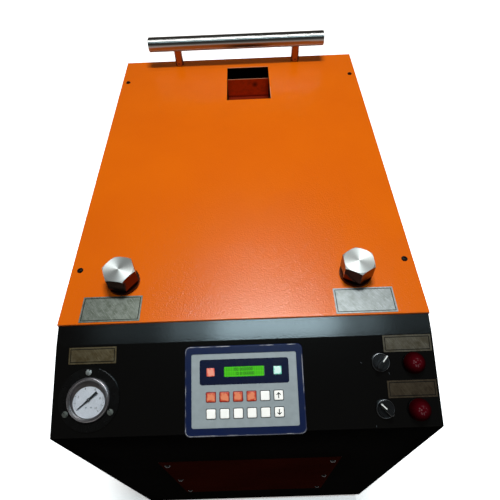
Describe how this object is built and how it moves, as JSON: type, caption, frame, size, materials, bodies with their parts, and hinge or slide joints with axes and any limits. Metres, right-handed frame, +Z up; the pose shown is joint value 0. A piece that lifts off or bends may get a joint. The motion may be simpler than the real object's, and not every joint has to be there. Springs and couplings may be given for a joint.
{
  "type": "small industrial steam boiler",
  "caption": "Free-standing fuel-fired steam boiler cabinet with a bright lid, sloping control console, filler caps, exhaust opening and grab handle.",
  "frame": {"origin": "on the floor, under the middle of the whole machine's box", "axes": "+X to the right of someone at the console, +Y towards the rear, +Z up"},
  "size_m": [0.644, 1.0364, 0.9795],
  "materials": {
    "orange_lid_paint": "orange powder coat with a fine texture",
    "orange_weir_paint": "orange powder coat, a little sooted",
    "maroon_panel_paint": "dark maroon powder coat",
    "black_cabinet_paint": "black satin powder coat",
    "black_tray_paint": "black powder coat",
    "satin_stainless": "brushed stainless steel",
    "turned_stainless": "turned stainless steel",
    "plate_silver": "brushed anodised sheet",
    "flange_black": "matt black",
    "gauge_chrome": "polished",
    "dial_white": "white enamel",
    "pointer_black": "matt black",
    "gauge_glass": "clear",
    "controller_navy": "moulded, fine grain",
    "overlay_grey": "printed foil",
    "display_green": "backlit",
    "key_cream": "embossed foil",
    "switch_collar": "satin",
    "switch_black": "moulded",
    "lamp_collar": "moulded",
    "lamp_red": "translucent, glossy",
    "outlet_steel": "machined",
    "gland_black": "moulded",
    "foot_zinc": "zinc plated"
  },
  "bodies": {
    "cabinet": {"base_tray": "black_tray_paint", "side_panel_left": "black_cabinet_paint", "side_panel_right": "black_cabinet_paint", "rear_panel": "black_cabinet_paint", "console_front": "black_cabinet_paint", "access_panel": "maroon_panel_paint", "lid": "orange_lid_paint", "exhaust_trough": "orange_weir_paint", "exhaust_weir": "orange_weir_paint", "handle_bar": "satin_stainless", "handle_post_left": "satin_stainless", "handle_post_right": "satin_stainless", "diesel_filler_neck": "turned_stainless", "water_filler_neck": "turned_stainless", "left_lid_plate": "plate_silver", "right_lid_plate": "plate_silver", "gauge_plate": "plate_silver", "upper_lamp_plate": "plate_silver", "lower_lamp_plate": "plate_silver", "gauge_flange": "flange_black", "gauge_case": "gauge_chrome", "gauge_dial": "dial_white", "gauge_glass": "gauge_glass", "controller_frame": "controller_navy", "controller_overlay": "overlay_grey", "controller_display": "display_green", "controller_keys": "key_cream", "upper_switch_bezel": "switch_collar", "lower_switch_bezel": "switch_collar", "upper_lamp_bezel": "lamp_collar", "lower_lamp_bezel": "lamp_collar", "upper_lamp_lens": "lamp_red", "lower_lamp_lens": "lamp_red", "steam_outlet": "outlet_steel", "cable_gland": "gland_black", "foot_front_left": "foot_zinc", "foot_front_right": "foot_zinc", "foot_rear_left": "foot_zinc", "foot_rear_right": "foot_zinc"},
    "diesel_cap": {"diesel_filler_cap": "turned_stainless"},
    "water_cap": {"water_filler_cap": "turned_stainless"},
    "upper_knob": {"upper_switch_knob": "switch_black"},
    "lower_knob": {"lower_switch_knob": "switch_black"},
    "gauge_needle": {"gauge_pointer": "pointer_black"}
  },
  "joints": [
    {"name": "diesel_cap_lift", "type": "slide", "parent": "cabinet", "child": "diesel_cap", "axis": [0, 0, 1], "range_m": [0, 0.06]},
    {"name": "water_cap_lift", "type": "slide", "parent": "cabinet", "child": "water_cap", "axis": [0, 0, 1], "range_m": [0, 0.06]},
    {"name": "upper_knob_turn", "type": "hinge", "parent": "cabinet", "child": "upper_knob", "pos_m": [0.226, -0.42188, 0.87601], "axis": [0, -0.3971, 0.9178], "range_deg": [0, 85]},
    {"name": "lower_knob_turn", "type": "hinge", "parent": "cabinet", "child": "lower_knob", "pos_m": [0.226, -0.48869, 0.8471], "axis": [0, -0.3971, 0.9178], "range_deg": [-85, 0]},
    {"name": "gauge_needle_turn", "type": "hinge", "parent": "cabinet", "child": "gauge_needle", "pos_m": [-0.2565, -0.45942, 0.85323], "axis": [0, 0.3971, -0.9178], "range_deg": [0, 270], "stiffness_Nm_per_rad": 0.0002}
  ]
}
